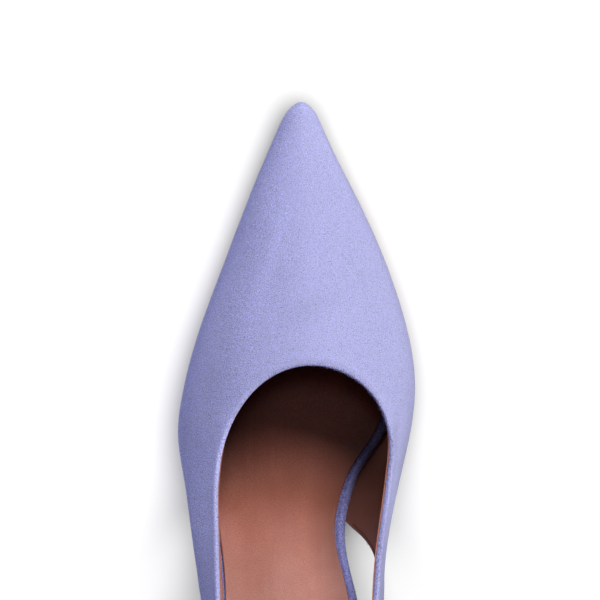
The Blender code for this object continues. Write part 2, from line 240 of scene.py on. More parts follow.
# Studio, in metres and watts: soft boxes by direction from the shoe, width and height, power, colour,
# what they reach and the rays that they give.
FLOOR_HALF = 30.0
FLOOR_WHITE = (0.9, 0.9, 0.9)
FLOOR_BOUNCE = (0.02, 0.02, 0.02)
FLOOR_FINISH = {"Roughness": 0.9, "Specular IOR Level": 0.0}
WARM = (1.0, 0.99, 0.93)
COOL = (0.92, 0.95, 1.14)
NEUTRAL = (1.0, 1.0, 1.0)
LIGHT_DISTANCE = 1.6
LIGHTS = (
    ("main", (0.55, 0.46, 0.70), (1.1, 0.8), 32.5, WARM, "outside", "diffuse"),
    ("inner", (0.28, 0.785, 0.55), (0.8, 0.95), 33.8, WARM, "inside", "diffuse"),
    ("sheen", (0.27, 0.94, 0.18), (0.3, 0.9), 31.0, NEUTRAL, "shoe", "gloss"),
    ("throat_sheen", (0.05, 0.26, 0.96), (0.25, 0.25), 1.0, NEUTRAL, "inside", "gloss"),
    ("back", (-0.25, -0.92, 0.30), (0.9, 0.6), 7.5, COOL, "unlined", "both"),
    ("side", (-0.61, 0.78, 0.12), (1.0, 0.4), 10.8, COOL, "shoe", "both"),
    ("inner_fill", (-0.05, 0.25, 1.0), (0.5, 0.5), 1.2, NEUTRAL, "inside", "diffuse"),
    ("lining_fill", (-0.85, 0.1, 0.5), (0.6, 0.3), 6.0, WARM, "lining", "diffuse"),
    ("floor_fill", (0.8, -0.5, 0.3), (0.8, 0.3), 1.0, NEUTRAL, "floor", "both"),
    ("floor_left", (-0.8, -0.45, 0.4), (0.8, 0.3), 1.5, NEUTRAL, "floor", "both"),
)
FLOOR_LIGHT = (0.1, 0.0, 1.0)
FLOOR_LIGHT_SPREAD = 52.0
FLOOR_LIGHT_STRENGTH = 3.53
SURROUND = 0.01
FLOOR = ("floor",)
LINING = ("upper_lining", "lining_stitching")
LINED = LINING + ("sock",)
INSIDE = LINED + ("insole_wrap", "rim_nap")
REACHES = {
    "shoe": ("EXCLUDE", FLOOR),
    "outside": ("EXCLUDE", FLOOR + INSIDE),
    "unlined": ("EXCLUDE", FLOOR + LINED),
    "inside": ("INCLUDE", INSIDE),
    "lining": ("INCLUDE", LINING),
    "floor": ("INCLUDE", FLOOR),
}

# Noise in the materials: size of its grains in millimetres where that is fixed, detail, stretch and
# roughness. Most of its values lie in NOISE_RANGE.
NOISE_RANGE = (0.3, 0.7)
SUEDE_CLOUDS = (14.0, 3.0, (1.0, 0.6, 1.0))
NAP_GRAIN = (1.0, (1.0, 0.85, 0.5))
LEATHER_STREAKS = (2.2, 3.0, (1.0, 0.12, 0.12))
LEATHER_CLOUDS = (16.0, 3.0)
RIPPLES = (9.0, 2.0, (1.0, 0.15, 0.3))
PORES = (2.0, (1.0, 0.8, 1.0), 0.6)

# Suede. The direction below is the side that the light comes from: suede that faces it is painted lighter
# and suede that faces away painted darker, with the tips and hollows of its nap in stronger contrast there
# as painted grazing-light shade. Shades are shares of its dark and light colours. Steep suede that faces
# away gets a little painted sheen.
PAINTED_LIGHT_SIDE = (0.574, 0.0, 0.819)
NAP_SIZE = 0.23
OPEN_NAP_SIZE = 0.4
NAP_DEPTH = 0.29
PAINTED_LIGHT_RANGE = (0.47, 0.79)
CLOUD_SHARE = 0.3
GROUND_SHADE = 1.02
TIP_RANGE = (0.52, 0.74)
TIP_SHADES = (1.85, 1.20)
HOLLOW_RANGE = (0.48, 0.30)
HOLLOW_SHADES = (0.59, 0.71)
# Painted sheen on steep suede that faces away from the light: facing from and to, and how much lighter.
PAINTED_EDGE_SHEEN = (0.3, -0.35, 1.0, 1.4)
SUEDE_FINISH = {
    "Roughness": 0.95,
    "Specular IOR Level": 0.12,
    "Sheen Weight": 0.4,
    "Sheen Roughness": 0.45,
    "Sheen Tint": (0.75, 0.78, 1.0, 1.0),
}

# Leather: shares and shades of its streaks and pores, depth of its lengthwise ripples and of the grain
# in its gloss. Painted shade darkens the sock towards its edges, most on the medial side; it goes by the
# place across it from -1 (lateral) to 1 (medial): start, end and share.
STREAK_SHARE = 0.35
SPECKLE_RANGE = (0.35, 0.65)
SPECKLE_SHADE = 0.7
GLOSS_CHANGE = 0.1
RIPPLE_DEPTH = 0.3
COAT_DEPTH = 0.25
ACROSS = "across"
EDGE_SHADE_SHARE = 0.8
SHADED_EDGES = ((0.45, 1.0, 1.0), (-0.7, -1.05, 0.2))
EDGE_SHADE_TONE = 0.4
LEATHER_FINISH = {"Specular IOR Level": 0.05, "Coat Weight": 0.6}

# Other materials, and the sockets of a colour mix by their place on its node.
PLAIN_SPECULAR = 0.3
PLAIN_RELIEF = 0.6
MIX_SHARE = 0
MIX_COLOURS = (6, 7)
MIX_RESULT = 2

# Finishes, each from a dark to a light colour. Suede: size and contrast of its nap.
SUEDES = {
    "lilac_suede": ((0.37, 0.375, 0.70), (0.465, 0.47, 0.85), NAP_SIZE, 1.0),
    "folded_suede": ((0.39, 0.395, 0.745), (0.455, 0.46, 0.84), OPEN_NAP_SIZE, 1.08),
    # The insole's wrap is the same suede as the upper, darkened by painted shade of the shoe's inside.
    "insole_suede": ((0.155, 0.155, 0.375), (0.195, 0.195, 0.45), OPEN_NAP_SIZE, 1.3),
}
# Leather: roughness, size and depth of its grain, share of speckle and of painted shade at the edges.
LEATHERS = {
    "sock_leather": ((0.31, 0.098, 0.070), (0.402, 0.140, 0.104), 0.30, 0.42, 0.05, 0.5, EDGE_SHADE_SHARE),
    # The lining's colour is its leather darkened by painted shade of the shoe's inside; its cut edge keeps
    # its own.
    "lining_leather": ((0.088, 0.031, 0.024), (0.12, 0.045, 0.036), 0.5, 0.45, 0.06, 0.1, 0.0),
    "sole_leather": ((0.36, 0.19, 0.10), (0.48, 0.28, 0.16), 0.38, 0.8, 0.05, 0.1, 0.0),
}
# Other materials: roughness, size and depth of the grain.
PLAINS = {
    "lining_cut_edge": ((0.26, 0.095, 0.068), (0.38, 0.15, 0.115), 0.7, 0.5, 0.05),
    "lining_thread": ((0.008, 0.003, 0.003), (0.02, 0.008, 0.007), 0.6, 0.2, 0.03),
    "lift_rubber": ((0.02, 0.018, 0.018), (0.05, 0.045, 0.045), 0.55, 0.4, 0.05),
    # Loose nap fibres: their tones run from a painted shadow-dark, darker than the suede, to a painted
    # highlight lighter than it; the rim's are darker still.
    "nap_fibre": ((0.14, 0.14, 0.34), (0.56, 0.565, 0.97), 0.9, 0.22, 0.02),
    "rim_nap_fibre": ((0.07, 0.07, 0.23), (0.32, 0.32, 0.70), 0.9, 0.22, 0.02),
}


def natural_spline(knots, values):
    """A cubic spline through the values, as a function of the knot variable."""
    knots = np.array(knots, float)
    values = np.array(values, float)
    spans = np.diff(knots)
    slopes = np.diff(values) / spans
    system = np.eye(len(knots))
    right = np.zeros(len(knots))
    for i in range(1, len(knots) - 1):
        system[i, i - 1 : i + 2] = spans[i - 1], 2 * (spans[i - 1] + spans[i]), spans[i]
        right[i] = 6 * (slopes[i] - slopes[i - 1])
    bends = np.linalg.solve(system, right)

    def value(at):
        at = np.clip(at, knots[0], knots[-1])
        i = np.clip(np.searchsorted(knots, at, side="right") - 1, 0, len(knots) - 2)
        after = (at - knots[i]) / spans[i]
        before = 1 - after
        curved = (before**3 - before) * bends[i] + (after**3 - after) * bends[i + 1]
        return before * values[i] + after * values[i + 1] + curved * spans[i] ** 2 / 6

    return value


class Sections:
    """Smooth curves through the columns of a table, read along its first column."""

    def __init__(self, scale, columns, *rows):
        rows = sorted(rows)
        along = [row[0] * scale for row in rows]
        self.curves = {
            name: natural_spline(along, [row[i] for row in rows])
            for i, name in enumerate(columns.split())
            if i
        }

    def at(self, column, along):
        return self.curves[column](along)


# Stations in percent of the length. Lateral, medial and centre in percent of the ball width: the
# widest outline on each side and the line of the crown. Widest in percent of the instep: the height
# of that outline above the feather line.
LAST = Sections(
    LENGTH / 100,
    "station lateral medial centre widest",
    (100.0, 2.8, 6.4, 1.8, 13.0),
    (96.0, 8.4, 11.4, 2.0, 17.0),
    (86.0, 21.3, 26.5, 2.6, 22.0),
    (79.0, 29.5, 36.2, 3.4, 25.0),
    (72.0, 37.6, 43.8, 4.6, 29.0),
    (66.0, 43.8, 48.4, 5.8, 32.0),
    (60.0, 48.3, 49.9, 6.0, 36.0),
    (54.5, 50.3, 47.9, 5.0, 40.0),
    (47.5, 47.3, 43.0, 2.6, 54.0),
    (42.0, 44.9, 39.4, 1.5, 61.0),
    (36.5, 42.4, 37.0, 0.6, 60.0),
    (31.0, 39.8, 36.3, 0.2, 57.5),
    (23.0, 37.9, 35.1, -1.0, 59.5),
    (12.0, 36.2, 32.4, -1.9, 84.0),
    (0.0, 36.2, 32.4, -1.9, 136.0),
)

# Height of the last's crown above the feather line, in percent of the instep. It runs on over the
# throat, where the upper is open.
CROWN = Sections(
    LENGTH / 100,
    "station height",
    (100.0, 19.0),
    (96.0, 32.0),
    (86.0, 58.5),
    (79.0, 75.0),
    (72.0, 90.0),
    (66.0, 101.5),
    (60.0, 112.0),
    (50.2, 128.5),
)

# Topline behind the throat: half width in percent of the ball width, and height above the feather
# line in percent of the instep.
TOPLINE = Sections(
    LENGTH / 100,
    "station half height",
    (64.0, 36.9, 99.5),
    (54.5, 37.0, 98.5),
    (50.2, 36.9, 99.5),
    (47.5, 36.8, 101.0),
    (42.0, 35.6, 102.5),
    (36.5, 34.4, 101.0),
    (31.0, 33.7, 99.5),
    (23.0, 33.0, 101.0),
    (12.0, 31.6, 124.0),
    (0.0, 31.6, 172.0),
)

# Edge of the insole, in percent of the ball width.
INSOLE = Sections(
    LENGTH / 100,
    "station lateral medial",
    (98.5, -0.5, 3.1),
    (95.8, 3.8, 6.8),
    (86.0, 16.4, 21.5),
    (79.0, 23.8, 30.5),
    (72.0, 31.0, 37.3),
    (66.0, 36.4, 41.0),
    (60.0, 39.9, 41.4),
    (54.9, 41.0, 37.1),
    (49.4, 38.9, 26.2),
    (45.3, 37.1, 21.5),
    (40.5, 35.4, 19.3),
    (35.7, 33.6, 21.5),
    (31.7, 33.0, 24.5),
    (23.0, 33.0, 28.6),
    (12.5, 33.8, 30.0),
    (0.0, 33.8, 30.0),
)

# Levels in percent from the top lift to the seat; front and back stations and half width of the heel.
HEEL = Sections(
    0.01,
    "level front back half",
    (0, 25.5, 13.5, 5.8),
    (25, 25.8, 12.3, 6.3),
    (50, 27.5, 10.3, 8.0),
    (75, 32.5, 7.4, 12.6),
    (90, 40.0, 5.6, 18.6),
    (100, 50.0, 4.8, 24.5),
)


def mix(start, end, share):
    return start + (end - start) * share


def held(share):
    return np.clip(share, 0.0, 1.0)


def shares(count):
    """Even steps from 0 to 1."""
    return np.arange(count + 1) / count


def unit(vectors):
    return vectors / np.linalg.norm(vectors, axis=-1, keepdims=True)


def read_line(at, known, rows):
    """Rows read at these places along a line, between the places where they are known."""
    return np.stack([np.interp(at, known, column) for column in rows.T], axis=1)


def of_ball(percent):
    return percent * BALL_WIDTH / 100


def of_instep(percent):
    return percent * INSTEP / 100


def end_round(distance, length):
    """Share of the full width at this distance from a round end."""
    inside = 1 - held(distance / length)
    return np.sqrt(1 - inside**2)


def waist_share(station, front, back):
    """0 behind the waist and 1 in front of it, with a smooth change between."""
    share = held((station - back) / (front - back))
    return share * share * (3 - 2 * share)


def arch_shape(station):
    """Rise of the sole behind the tread, for a shank slope of one."""
    stations = (TREAD_BACK, SHANK_FRONT, SHANK_BACK, SEAT_FRONT, 0.0)
    slopes = (0.0, 1.0, 1.0, SEAT_SLOPE_SHARE, SEAT_SLOPE_SHARE)
    rise = 0.0
    for i in range(len(stations) - 1):
        reach = stations[i] - stations[i + 1]
        run = np.clip(stations[i] - station, 0.0, reach)
        rise = rise + run * (slopes[i] + (slopes[i + 1] - slopes[i]) / reach * run / 2)
    return rise


SHANK_SLOPE = (HEEL_HEIGHT - OUTSOLE_THICK - GAP) / arch_shape(0.0)


def feather_height(station):
    """Height of the feather line, where the upper and the insole meet the sole."""
    forward = np.maximum(station - TREAD_FRONT, 0.0) / (LENGTH - TREAD_FRONT)
    return OUTSOLE_THICK + GAP + TOE_SPRING * forward**2 + SHANK_SLOPE * arch_shape(station)


def widest_height(station):
    return feather_height(station) + of_instep(LAST.at("widest", station))


def topline_height(station):
    return feather_height(station) + of_instep(TOPLINE.at("height", station))


def centre_line(station):
    return of_ball(LAST.at("centre", station))


def plan_edge(table, side, station, toe, back, reach=0.0):
    """X of an edge in plan, rounded off at its toe and at its back."""
    wide = np.where(side == MEDIAL, table.at("medial", station), table.at("lateral", station))
    edge = side * (of_ball(wide) + reach)
    centre = centre_line(station)
    share = end_round(toe - station, TOE_ROUND) * end_round(station - back, HEEL_ROUND - back)
    return centre + (edge - centre) * share


def outline_edge(side, station):
    return plan_edge(LAST, side, station, LENGTH, 0.0)


def feather_edge(side, station):
    """Foot of the upper's wall. The arch side flares, so there the wall stands closer."""
    arch_reach = mix(FEATHER_WAIST_REACH, FEATHER_REACH, waist_share(station, TREAD_BACK, CUT_FRONT))
    reach = np.where(side == MEDIAL, arch_reach, FEATHER_REACH)
    return plan_edge(INSOLE, side, station, FEATHER_TOE, INSOLE_BACK, reach)


def wrap_edge(side, station):
    """The suede wrap makes the insole's rim a little wider."""
    return plan_edge(INSOLE, side, station, INSOLE_TOE + WRAP_REACH, INSOLE_BACK - WRAP_REACH, WRAP_REACH)


def sock_edge(side, station):
    lateral = SOCK_LATERAL_REACH * waist_share(station, *SOCK_REACH_STATIONS)
    medial = SOCK_MEDIAL_REACH * (1 - waist_share(station, *SOCK_MEDIAL_STATIONS))
    reach = np.where(side == LATERAL, lateral, medial) - SOCK_INSET
    return plan_edge(INSOLE, side, station, SOCK_TOE, INSOLE_BACK + SOCK_INSET, reach)


def outsole_edge(side, station):
    """The sole carries the upper's wall in front and draws in under the insole at the waist."""
    share = waist_share(station, SOLE_REACH_FRONT, SOLE_REACH_BACK)
    reach = mix(SOLE_WAIST_REACH, SOLE_REACH, share)
    return plan_edge(INSOLE, side, station, SOLE_TOE, INSOLE_BACK, reach)


def topline_edge(side, station):
    """The throat is half an ellipse; behind it the topline follows its table round the heel."""
    forward = (station - THROAT_END) / (THROAT - THROAT_END)
    throat = TOPLINE.at("half", THROAT_END) * np.sqrt(held(1 - forward**2))
    share = end_round(station - SLING_LEAN, HEEL_ROUND - SLING_LEAN)
    half = np.where(station >= THROAT_END, throat, TOPLINE.at("half", station) * share)
    return centre_line(station) + of_ball(side * half)


def topline_share(side, station):
    """Where the topline crosses the section, as a share of its half width from the centre."""
    centre = centre_line(station)
    return abs(topline_edge(side, station) - centre) / abs(outline_edge(side, station) - centre)


def section_curve(share):
    """Height of a section's curve over this share of its half width, for a height of one."""
    return held(1 - share**SECTION_POWER) ** (1 / SECTION_POWER)


def crown_rise(side, station):
    """Rise of a section over its widest line: to the crown, and behind the throat to meet the topline."""
    rise = of_instep(CROWN.at("height", station) - LAST.at("widest", station))
    rise = rise * end_round(LENGTH - station, TOE_ROUND)
    behind = np.clip(station, HEEL_ROUND, THROAT)
    wall = topline_height(behind) - widest_height(behind)
    to_topline = wall / section_curve(topline_share(side, behind))
    return mix(to_topline, rise, waist_share(station, THROAT, THROAT_END))


def flatness(station):
    """How far a wall goes from the section's curve to a straight slope."""
    return WALL_FLATNESS * (1 - waist_share(station, FLAT_FRONT, FLAT_BACK))


def upper_surface_height(x, station):
    """Height of the last over a point in plan, by the section through that station."""
    centre = centre_line(station)
    side = np.where(x >= centre, MEDIAL, LATERAL)
    half = np.maximum(abs(outline_edge(side, station) - centre), TINY)
    share = held(abs(x - centre) / half)
    top_share = topline_share(side, np.clip(station, HEEL_ROUND, THROAT))
    straight = section_curve(top_share) * (1 - share) / (1 - top_share)
    lift = mix(section_curve(share), straight, flatness(station))
    return widest_height(station) + crown_rise(side, station) * lift


def cut_share(station):
    """How far up the lower wall the cut-out's edge is: 0 at the feather line, 1 along the strap."""
    back = held((CUT_FRONT - station) / (CUT_FRONT - CUT_BACK))
    return np.sin(np.pi / 2 * back) ** CUT_SHAPE


def throat_station(angle):
    return mix(THROAT_END, THROAT, np.cos(np.radians(angle)))


def column_stations():
    """Stations on the outline and on the topline, from the tip to the back of one side."""
    fan = shares(FAN_STEPS)[:-1]
    flank = shares(SIDE_STEPS)[:-1]
    strips = [mix(front, back, shares(steps)[:-1]) for front, back, steps in STRIP_STEPS]
    turn = np.sin(np.pi / 2 * shares(HEEL_STEPS))
    outline = [mix(LENGTH, FAN_BACK, fan**FAN_CROWDING), mix(FAN_BACK, THROAT_END, flank)]
    topline = [throat_station(FAN_ANGLE * fan), throat_station(mix(FAN_ANGLE, RIGHT_ANGLE, flank))]
    outline += strips + [mix(HEEL_ROUND, 0.0, turn)]
    topline += strips + [mix(HEEL_ROUND, SLING_LEAN, turn)]
    return np.concatenate(outline), np.concatenate(topline)


def feather_station(station):
    """The feather line's end lies behind the tip of the outline."""
    forward = np.maximum(station - FAN_BACK, 0.0) / (LENGTH - FAN_BACK)
    return station - (LENGTH - FEATHER_TOE) * forward


class UpperWall:
    """The upper's outer face as a closed band of columns, each read by the distance from its lower edge."""

    def __init__(self):
        outline, topline = column_stations()
        inner = slice(-2, 0, -1)
        self.outline = np.concatenate((outline, outline[inner]))
        self.topline = np.concatenate((topline, topline[inner]))
        self.side = np.where(np.arange(len(self.outline)) < len(outline), MEDIAL, LATERAL)
        points = self.grid()
        along = np.linalg.norm(np.diff(points, axis=0), axis=2)
        self.along = np.concatenate((np.zeros((1, len(self.outline))), np.cumsum(along, axis=0)))
        self.length = self.along[-1]
        across = np.roll(points, -1, axis=1) - np.roll(points, 1, axis=1)
        outward = unit(np.cross(np.gradient(points, axis=0), across))
        self.table = np.concatenate((points, outward), axis=2)

    def grid(self):
        """Points of each column from its lower edge up to the topline."""
        side = self.side
        outline = self.outline
        topline = self.topline
        foot_station = feather_station(outline)
        foot = (feather_edge(side, foot_station), foot_station, feather_height(foot_station))
        widest = (outline_edge(side, outline), outline, widest_height(outline))
        top = (topline_edge(side, topline), topline, topline_height(topline))
        power = 2 / SECTION_POWER
        share = topline_share(side, np.maximum(topline, HEEL_ROUND))
        top_angle = np.arccos(share ** (1 / power))
        start = -LOWER_SHARE * (1 - cut_share(outline))
        reach = mix(start, 1.0, shares(UPPER_ROWS)[:, None])
        rise = held(1 + reach / LOWER_SHARE)
        low_spread = 1 - (1 - rise) ** 2
        angle = np.maximum(reach, 0.0) * top_angle
        spread = (1 - np.cos(angle) ** power) / (1 - np.cos(top_angle) ** power)
        curved = (np.sin(angle) / np.sin(top_angle)) ** power
        lift = mix(curved, spread, flatness(outline))
        low_shares = (low_spread, low_spread, rise)
        high_shares = (spread, spread, lift)
        low = [mix(foot[i], widest[i], low_shares[i]) for i in range(3)]
        high = [mix(widest[i], top[i], high_shares[i]) for i in range(3)]
        on_last = upper_surface_height(high[0], high[1])
        high[2] = np.where(outline > HEEL_ROUND, on_last, high[2])
        return np.stack([np.where(reach < 0, low[i], high[i]) for i in range(3)], axis=2)

    def read(self, along):
        """Points and outward directions at these distances along the columns."""
        columns = range(along.shape[1])
        found = [read_line(along[:, i], self.along[:, i], self.table[:, i]) for i in columns]
        found = np.stack(found, axis=1)
        return found[..., :3], unit(found[..., 3:])

    def layer(self, layer, proud, trims, roll_lengths, rows, pad=0.0, edge_turn=0.0):
        """Points round the section of a layer, ring by ring, and which of them lie on its edges.

        The section runs up the outer face, over the roll at the topline, down the inner face and round
        the lower edge, which is rolled only where it is free.
        """
        outer, inner = layer
        free = cut_share(self.outline)
        thick = inner - outer
        padding = pad * (self.side == LATERAL) * (1 - waist_share(self.topline, *PAD_STATIONS))
        top_roll = (thick + proud + padding) / 2
        low_roll = (thick + proud * free) / 2
        top_trim = mix(*trims, waist_share(self.topline, *TRIM_STATIONS))
        top_stop = top_roll + top_trim
        low_stop = low_roll + trims[0] * free
        roll_length = mix(*roll_lengths, waist_share(self.topline, *ROLL_STATIONS))
        top_start = np.maximum(roll_length, top_roll) + top_trim
        steps = np.array(EDGE_STEPS)
        fade = waist_share(ROLL_REACH - steps, ROLL_REACH, 0.0)
        turns = np.pi * shares(ROLL_STEPS)[1:-1]
        still = np.zeros(len(free))
        section = []

        def face(low_depth, top_depth, stop, count, upward):
            low = [(low_stop + step, low_depth * fade[i]) for i, step in enumerate(steps)]
            top = [(self.length - stop - step, top_depth * fade[i]) for i, step in enumerate(steps)]
            between = [(mix(low[-1][0], top[-1][0], i / count), still) for i in range(1, count)]
            found = low + between + top[::-1]
            return found if upward else found[::-1]

        for at, swell in face(-proud * free, still - proud, top_start, rows[0], True):
            section.append((at, outer + swell, False))
        for turn in turns:
            at = self.length - mix(top_start if turn < np.pi / 2 else top_stop, top_trim, np.sin(turn))
            section.append((at, inner + padding - top_roll * (1 + np.cos(turn)), turn > edge_turn))
        for at, swell in face(still, padding, top_stop, rows[1], False):
            section.append((at, inner + swell, False))
        for turn in turns:
            at = low_stop - low_roll * np.sin(turn)
            section.append((at, inner - low_roll * (1 - np.cos(turn)), True))
        along, depth, edge = (np.array(column) for column in zip(*section))
        points, outward = self.read(along)
        return points - outward * depth[:, :, None], edge


def to_row(points):
    """Millimetres by station to metres in the row's frame."""
    return (np.asarray(points, float) - (0.0, LENGTH / 2, 0.0)) * MM


def add_mesh(name, points, faces, materials, face_materials=None):
    """A smooth closed piece, with its faces pointing out."""
    corners = points[[face[:3] for face in faces]]
    lean = np.cross(corners[:, 1] - corners[:, 0], corners[:, 2] - corners[:, 0])
    if (lean * (corners[:, 0] - points.mean(axis=0))).sum() < 0:
        faces = [face[::-1] for face in faces]
    return link_mesh(name, to_row(points), faces, materials, face_materials)


def link_mesh(name, points, faces, materials, face_materials=None):
    mesh = bpy.data.meshes.new(name)
    mesh.from_pydata(points.tolist(), [], faces)
    for material in materials:
        mesh.materials.append(material)
    if face_materials is not None:
        mesh.polygons.foreach_set("material_index", np.asarray(face_materials, np.int32))
    mesh.shade_smooth()
    mesh.validate()
    piece = bpy.data.objects.new(name, mesh)
    bpy.context.scene.collection.objects.link(piece)
    return piece


def mark_points(piece, name, values):
    """Gives each point of the piece a value for its material to read."""
    piece.data.attributes.new(name, "FLOAT", "POINT").data.foreach_set("value", values)


def add_copies(name, shape, faces, places, axes, materials):
    """A piece of many copies of a small shape, one at each place, along the axes given there."""
    points = places[:, None] + shape @ axes
    starts = range(0, len(shape) * len(places), len(shape))
    copied = [[start + corner for corner in face] for start in starts for face in faces]
    return link_mesh(name, to_row(points.reshape(-1, 3)), copied, materials)


def loop_faces(count, size, closed):
    """Quads between neighbouring rings of this size, numbered ring by ring."""
    ring = np.arange(count if closed else count - 1)[:, None]
    place = np.arange(size)[None, :]
    here = ring * size
    there = (ring + 1) % count * size
    following = (place + 1) % size
    quads = (here + place, there + place, there + following, here + following)
    return np.stack(quads, axis=2).reshape(-1, len(quads)).tolist()


def brush_and_painted_light_tone(points):
    """How much lighter or darker the strokes of painted light and shade, partly brush marks, make the suede
    at these points, by their place in plan.
    """
    tone = 0.0
    for x, station, end_x, end_station, width, change in BRUSH_AND_PAINTED_LIGHT_STROKES:
        run = np.array((end_x - x, end_station - station))
        length = np.linalg.norm(run)
        from_start = points[:, :2] - (x, station)
        along = from_start @ run / length**2
        across = from_start @ (run[1], -run[0]) / length
        fade = np.sin(np.pi * held(along))
        tone = tone + change * fade * np.exp(-((across / width) ** 2))
    return tone


def wall_piece(name, wall, section, materials):
    """One layer of the upper as a closed skin, with the second material on its edges."""
    points, on_edge = wall.layer(*section)
    size, columns = points.shape[:2]
    points = points.transpose(1, 0, 2).reshape(-1, 3)
    edge = np.tile(on_edge | np.roll(on_edge, -1), columns)
    piece = add_mesh(name, points, loop_faces(columns, size, closed=True), materials, edge)
    # The strokes of painted light and shade, partly brush marks, go on each point for the suede to read.
    mark_points(piece, BRUSHED_AND_PAINTED_LIGHT, brush_and_painted_light_tone(points))
    return piece


def capped(points, rings, size):
    """Faces of a tube of rings, with fans that close its two ends."""
    faces = loop_faces(rings, size, closed=False)
    last = (rings - 1) * size
    middle = len(points)
    points = np.concatenate((points, [points[:size].mean(axis=0)], [points[last:].mean(axis=0)]))
    place = np.arange(size)
    following = (place + 1) % size
    first_fan = np.stack((following, place, np.full(size, middle)), axis=1)
    last_fan = np.stack((last + place, last + following, np.full(size, middle + 1)), axis=1)
    return points, faces + first_fan.tolist() + last_fan.tolist()


def add_tube(name, rings, materials):
    """A closed tube of rings as a smooth piece."""
    return add_mesh(name, *capped(np.concatenate(rings), len(rings), len(rings[0])), materials)


def plate_stations(toe, back, round_back=True):
    """Stations of a flat piece: close together at its round ends and even between them."""
    front = toe - TOE_ROUND
    rear = HEEL_ROUND if round_back else back
    steps = round((front - rear) / PLATE_PITCH)
    turn = 1 - np.cos(np.pi / 2 * shares(END_STEPS)[1:-1])
    stations = [toe - TOE_ROUND * turn, mix(front, rear, shares(steps))]
    if round_back:
        stations += [mix(back, HEEL_ROUND, turn[::-1]), [back + TINY]]
    return np.concatenate(stations)


def plate_ring(left, right, bottom, top, rounds, relief):
    """Cross-section of a flat piece, with its edges rounded and a relief on its upper face."""
    most = MOST_ROUND_SHARE * min(right - left, top - bottom)
    low, high = (min(edge_round, most) for edge_round in rounds)
    turn = np.pi / 2 * shares(CORNER_STEPS)
    corners = (
        (right - low, bottom + low, low, -np.pi / 2),
        (right - high, top - high, high, 0.0),
        (left + high, top - high, high, np.pi / 2),
        (left + low, bottom + low, low, np.pi),
    )
    parts = []
    for x, z, radius, start in corners:
        angle = start + turn
        parts.append(np.stack((x + radius * np.cos(angle), z + radius * np.sin(angle)), axis=1))
    across = (1 + np.cos(np.pi * shares(ACROSS_STEPS)[1:-1])) / 2
    flat = np.stack((mix(left + high, right - high, across), np.full(len(across), top)), axis=1)
    upper = np.concatenate((parts[1], flat, parts[2]))
    upper[:, 1] += relief(upper[:, 0])
    return np.concatenate((parts[0], upper, parts[3]))


def flat_face(station, x):
    return 0.0 * x


def plate(name, stations, edge, bottom, top, rounds, materials, relief=flat_face):
    """A flat piece swept along its stations between two edges and two heights."""
    rings = []
    across = []
    for station in stations:
        left = float(edge(LATERAL, station))
        right = float(edge(MEDIAL, station))
        ring = plate_ring(
            left, right, float(bottom(station)), float(top(station)), rounds, partial(relief, station)
        )
        rings.append(np.insert(ring, 1, station, axis=1))
        across.append((2 * ring[:, 0] - left - right) / (right - left))
    piece = add_tube(name, rings, materials)
    end_points = len(piece.data.vertices) - len(rings) * len(rings[0])
    mark_points(piece, ACROSS, np.concatenate((*across, np.zeros(end_points))))
    return piece


def bead(station, x):
    """Rise of the suede wrap between the sock's outline and its own, round the back as well."""
    seat = np.maximum(station, HEEL_ROUND)
    side = np.where(x >= centre_line(station), MEDIAL, LATERAL)
    off_centre = abs(x - centre_line(station))

    def place(edge, back, gap):
        """Below 1 inside the outline and above 1 outside it."""
        half = np.maximum(abs(edge(side, seat) - centre_line(seat)), TINY) + gap
        return np.hypot(off_centre / half, (seat - station) / (HEEL_ROUND - back))

    past_sock = np.maximum(place(sock_edge, INSOLE_BACK + SOCK_INSET, BEAD_GAP) - 1, 0.0)
    to_edge = np.maximum(1 - place(wrap_edge, INSOLE_BACK - WRAP_REACH, 0.0), 0.0)
    return BEAD_RISE * np.sin(np.pi * past_sock / np.maximum(past_sock + to_edge, TINY))


def dish(station, x):
    """Hollow of the sock between its edges, with a low ridge along it."""
    left = sock_edge(LATERAL, station)
    right = sock_edge(MEDIAL, station)
    share = held(abs(2 * x - left - right) / (right - left))
    ridge = RIDGE_RISE * np.exp(-(((x - RIDGE_X) / RIDGE_WIDTH) ** 2)) * (1 - share**DISH_POWER)
    return ridge - SOCK_DISH * (1 - share**DISH_POWER)


def above(level, rise):
    """Heights that run this far above others."""
    return lambda station: level(station) + rise


insole_top = above(feather_height, INSOLE_THICK)
sock_bottom = above(insole_top, GAP)
sock_top = above(sock_bottom, SOCK_THICK)
outsole_top = above(feather_height, -GAP)


def outsole_bottom(station):
    share = held((TREAD_BACK - station) / (TREAD_BACK - SHANK_FRONT))
    return outsole_top(station) - mix(OUTSOLE_THICK, OUTSOLE_WAIST, share)


def lasting_margin(side, materials):
    """Strip of the upper that is turned in between insole and sole."""
    front, back = MARGIN_STATIONS
    inner, outer = MARGIN_REACH
    bottom, top = (above(feather_height, level) for level in MARGIN_LEVELS)

    def edge(strip_side, station):
        taper = waist_share(station, back + MARGIN_TAPER, back)
        reach = mix(inner, outer, taper) if strip_side == side else inner
        return plan_edge(INSOLE, side, station, INSOLE_TOE, INSOLE_BACK, reach + TINY)

    stations = mix(front, back + MARGIN_END, shares(MARGIN_STEPS))
    name = "lasting_margin_medial" if side == MEDIAL else "lasting_margin_lateral"
    return plate(name, stations, edge, bottom, top, MARGIN_ROUNDS, materials)


